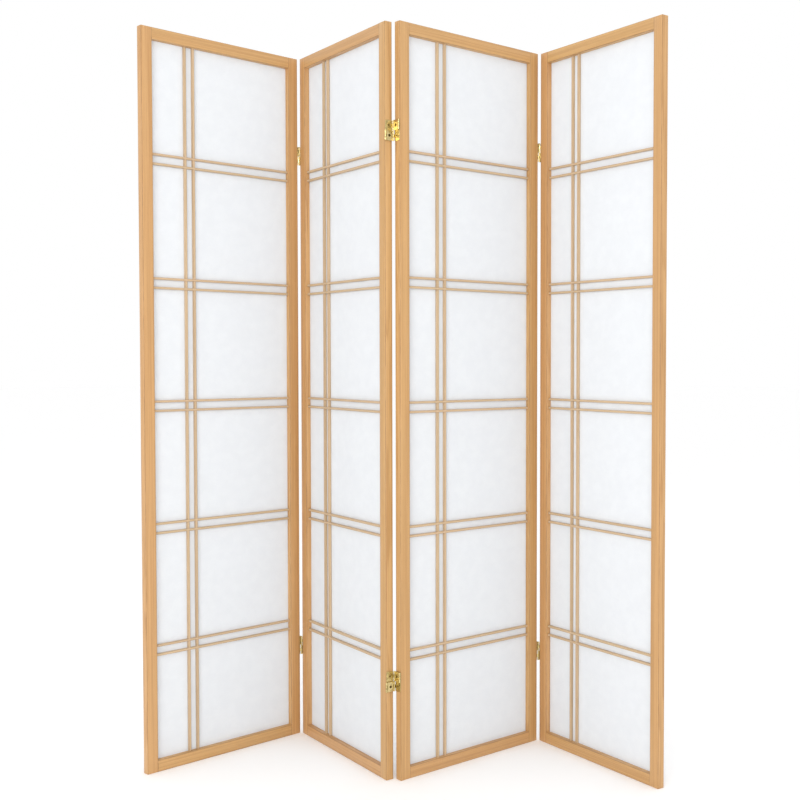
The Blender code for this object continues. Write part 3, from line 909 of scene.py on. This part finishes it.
def strap_mesh(path, z0, z1, over):
    """The rolled strap between two heights."""
    rings = []
    for i, (x, y, half) in enumerate(path):
        ax, ay, _ = path[max(i - 1, 0)]
        bx, by, _ = path[min(i + 1, len(path) - 1)]
        ahead = Vector((bx - ax, by - ay)).normalized()
        u, v = ahead.y * half, ahead.x * half
        left, right = (x - u, y + v), (x + u, y - v)
        ring = [(*left, z0), (*right, z0), (*right, z1), (*left, z1)]
        rings.append([over @ Vector(p) for p in ring])
    return lofted(rings)


def cone(x0, r0, x1, r1, z, sides):
    """A round cutting shape along X."""
    ends = ((x0, r0), (x1, r1))
    return lofted([[(x, u, z + v) for u, v in circle((0, 0), r, sides)] for x, r in ends])


def column(y, radius, z0, z1, sides):
    """A round cutting shape along Z."""
    return lofted([[(u, v, z) for u, v in circle((0, y), radius, sides)] for z in (z0, z1)])


def leaf_mesh(x0, half_depth, half_height, pin_y):
    """A stamped leaf with two sunk holes and a rolled knuckle at the back above, in front below."""
    x1 = x0 + LEAF_THICKNESS
    rings = []
    for x, inset in ((x0, LEAF_EASE), (x0 + LEAF_EASE, 0), (x1 - LEAF_EASE, 0), (x1, LEAF_EASE)):
        sides = (-half_depth, half_depth, -half_height, half_height)
        outline = rounded(*sides, (LEAF_CORNER,) * 4, LEAF_CORNER_STEPS, inset)
        rings.append([(x, y, z) for y, z in outline])
    plate = lofted(rings)
    z0, z1 = layers(half_height)[1]
    path = strap_path((x0 + x1) / 2, half_depth, pin_y)
    steps = []
    for over in (Matrix.Identity(3), Matrix.Rotation(math.pi, 3, "X")):
        steps.append(("UNION", strap_mesh(path, z0, z1, over)))
    past = OVERRUN / 2
    flare = past * (SINK_RADIUS - SINK_BOTTOM_RADIUS) / LEAF_THICKNESS
    ends = (x0 - past, SINK_BOTTOM_RADIUS - flare, x1 + past, SINK_RADIUS + flare)
    for z in (-screw_level(half_height), screw_level(half_height)):
        steps.append(("DIFFERENCE", cone(*ends, z, SINK_SIDES)))
    return combined(plate, steps)


def link_mesh(half_height, pin_y):
    """The band round the two pins, with its knuckles above and below and a hole for the driver."""
    lap = math.asin(LINK_THICKNESS / 2 / KNUCKLE_RADIUS)
    sweep = 2 * math.pi - 2 * lap
    stack = layers(half_height)
    z0, z1 = stack[0][0], stack[-1][1]
    rings = []
    for z, inset in ((z0, LINK_EASE), (z0 + LINK_EASE, 0), (z1 - LINK_EASE, 0), (z1, LINK_EASE)):
        radius = KNUCKLE_RADIUS - inset
        back = circle((0, pin_y), radius, KNUCKLE_SIDES, -math.pi / 2 + lap, sweep)
        front = circle((0, -pin_y), radius, KNUCKLE_SIDES, math.pi / 2 + lap, sweep)
        rings.append([(x, y, z) for x, y in back + front])
    cuts = []
    for y in (-pin_y, pin_y):
        cuts.append(column(y, KNUCKLE_ROOM, stack[0][1], stack[-1][0], KNUCKLE_SIDES))
        cuts.append(column(y, BORE_RADIUS, z0 - OVERRUN, z1 + OVERRUN, BORE_SIDES))
    x, z, r = LINK_THICKNESS, screw_level(half_height), DRIVER_HOLE_RADIUS
    cuts.append(cone(-x, r, x, r, z, KNUCKLE_SIDES))
    return combined(lofted(rings), [("DIFFERENCE", cut) for cut in cuts])


def pin_mesh(z0, z1):
    """A riveted pin along Z: a low head at its outer end and a turned tail."""
    profile = [
        (z0 - PIN_TAIL_HEIGHT, PIN_TAIL_RADII[0]),
        (z0 - PIN_TAIL_HEIGHT / 2, PIN_TAIL_RADII[1]),
        (z0 + PIN_TAIL_HEIGHT, PIN_RADIUS),
        (z1, PIN_RADIUS),
        (z1 + LINK_EASE / 2, PIN_HEAD_RADIUS),
        *dome(z1 + LINK_EASE, PIN_HEAD_HEIGHT - LINK_EASE, PIN_HEAD_RADIUS),
    ]
    bm = bmesh.new()
    lathe(bm, profile, PIN_SIDES)
    bmesh.ops.transform(bm, matrix=Matrix.Rotation(-math.pi / 2, 4, "Y"), verts=bm.verts)
    return finished(bm)


def screw_mesh(face):
    """A raised countersunk wood screw along X: its rim is level with the leaf's face."""
    tip = face - SCREW_LENGTH
    neck = face - LEAF_THICKNESS - SCREW_DOME
    threaded = [tip + (neck - tip) * k / SCREW_ROWS for k in range(SCREW_ROWS + 1)]

    def shaped(x, r, a):
        if r != SCREW_THREAD:
            return r
        turn = (x / SCREW_PITCH + a / (2 * math.pi)) % 1.0
        ridge = max(0.0, 1 - abs(turn - 0.5) * 4)  # half a pitch wide
        taper = max(SCREW_POINT, min(1.0, (x - tip) / SCREW_TAPER))
        return (SCREW_CORE + (SCREW_THREAD - SCREW_CORE) * ridge) * taper

    profile = [
        *[(x, SCREW_THREAD) for x in threaded],
        (neck + SCREW_NECK, SCREW_CORE),
        (face - SCREW_RIM, SCREW_HEAD_RADIUS),
        (face, SCREW_HEAD_RADIUS),
        *dome(face, SCREW_DOME, SCREW_HEAD_RADIUS),
    ]
    bm = bmesh.new()
    lathe(bm, profile, SCREW_SIDES, shaped)
    top = face + SCREW_DOME
    cross = []
    for long, wide in ((RECESS_LENGTH, RECESS_WIDTH), (RECESS_WIDTH, RECESS_LENGTH)):
        low = (top - RECESS_DEPTH, -long / 2, -wide / 2)
        cross.append(("DIFFERENCE", boxes((low, (top + OVERRUN, long / 2, wide / 2)))))
    return combined(finished(bm), cross)


def brassed(mesh, to_grain=ALONG_Z):
    """A hinge part's mesh, dressed for its brass."""
    return dressed(mesh, to_grain, any_shift(BRASS_PATTERN))


def make_hinge(hinge, level):
    """Both leaves of one hinge with their screws, and both links with their pins."""
    for side in ("left", "right"):
        body, leaf, link = hinge_nodes(hinge, level, side)
        matrix = hinge_matrix(panels[body].matrix, leaf, link)
        faced = matrix @ Matrix.Rotation(math.pi, 4, "Z") if side == "right" else matrix
        low, high = span(faced, leaf)
        half_height = (high.z - low.z) / 2
        link_low, link_high = span(matrix, link)
        pin_y = (link_high.y - link_low.y) / 2 - KNUCKLE_RADIUS
        x0, half_depth = leaf_plate(faced, leaf)
        mesh = brassed(leaf_mesh(x0, half_depth, half_height, pin_y))
        piece(leaf + "_plate", mesh, faced, body, leaf_brass, [leaf])
        for end, z in (("lower", -1), ("upper", 1)):
            mesh = brassed(screw_mesh(x0 + LEAF_THICKNESS), Matrix.Identity(4))
            spin = Matrix.Rotation(rng.uniform(0, math.pi / 2), 4, "X")
            at = faced @ Matrix.Translation((0, 0, z * screw_level(half_height))) @ spin
            piece(f"{leaf}_screw_{end}", mesh, at, body, screw_brass)
        upper = link.endswith("upper")
        held = matrix if upper else matrix @ Matrix.Rotation(math.pi, 4, "Y")
        mesh = brassed(link_mesh(half_height, pin_y))
        piece(link + "_band", mesh, held, body, link_brass, [link])
        for end, y in (("front", -pin_y), ("back", pin_y)):
            mesh = brassed(pin_mesh(LINKS_APART / 2, half_height))
            at = held @ Matrix.Translation((0, y, 0))
            piece(f"{link}_pin_{end}", mesh, at, body, link_brass)


panels = {}
for panel_number in PANELS:
    panel = Panel(panel_number)
    panels[panel.body] = panel
    board_names = panel.make_boards()
    panel.make_bars()
    panel.make_paper()
for hinge_number in PANELS[:-1]:
    for hinge_level in LEVELS:
        make_hinge(hinge_number, hinge_level)


# Studio


def make_camera():
    """The camera, at the photograph's viewing angle."""
    data = bpy.data.cameras.new("camera")
    data.lens = CAMERA_LENS
    data.sensor_width = CAMERA_SENSOR
    data.shift_x = CAMERA_SHIFT
    data.clip_end = CAMERA_REACH
    right = Vector((math.cos(CAMERA_YAW), -math.sin(CAMERA_YAW), 0))
    level = Vector((math.sin(CAMERA_YAW), math.cos(CAMERA_YAW), 0))
    ahead = level * math.cos(CAMERA_PITCH) - Vector((0, 0, math.sin(CAMERA_PITCH)))
    up = right.cross(ahead)
    c, s = math.cos(CAMERA_ROLL), math.sin(CAMERA_ROLL)
    turn = Matrix((right * c + up * s, up * c - right * s, -ahead)).transposed().to_4x4()
    camera = bpy.data.objects.new("camera", data)
    bpy.context.scene.collection.objects.link(camera)
    camera.matrix_world = Matrix.Translation(CAMERA_AT) @ turn
    bpy.context.scene.camera = camera


def area_light(name, place, target, size, power):
    """A soft white lamp that points at a target."""
    data = bpy.data.lights.new(name, "AREA")
    data.shape = "RECTANGLE"
    data.size, data.size_y = size
    data.energy = power
    lamp = bpy.data.objects.new(name, data)
    bpy.context.scene.collection.objects.link(lamp)
    lamp.location = place
    lamp.rotation_mode = "QUATERNION"
    lamp.rotation_quaternion = (Vector(target) - Vector(place)).to_track_quat("-Z", "Y")


def make_studio():
    """A white room: even light, a soft lamp on each side behind the camera, and one overhead."""
    world = bpy.data.worlds.new("studio")
    world.use_nodes = True
    shade = world.node_tree.nodes["Background"]
    shade.inputs["Color"].default_value = WHITE
    shade.inputs["Strength"].default_value = WORLD_STRENGTH
    bpy.context.scene.world = world
    for lamp in LAMPS:
        area_light(*lamp)

    bm = bmesh.new()
    bmesh.ops.create_circle(bm, cap_ends=True, radius=FLOOR_REACH, segments=FLOOR_SIDES)
    floor = bpy.data.objects.new("floor", finished(bm))
    bpy.context.scene.collection.objects.link(floor)
    look = Look("floor")
    shader = look.add("BsdfPrincipled", {"Base Color": WHITE, "Roughness": FLOOR_ROUGHNESS})
    floor.data.materials.append(look.finish(shader))
    bpy.context.scene.view_settings.view_transform = "Standard"


make_camera()
make_studio()
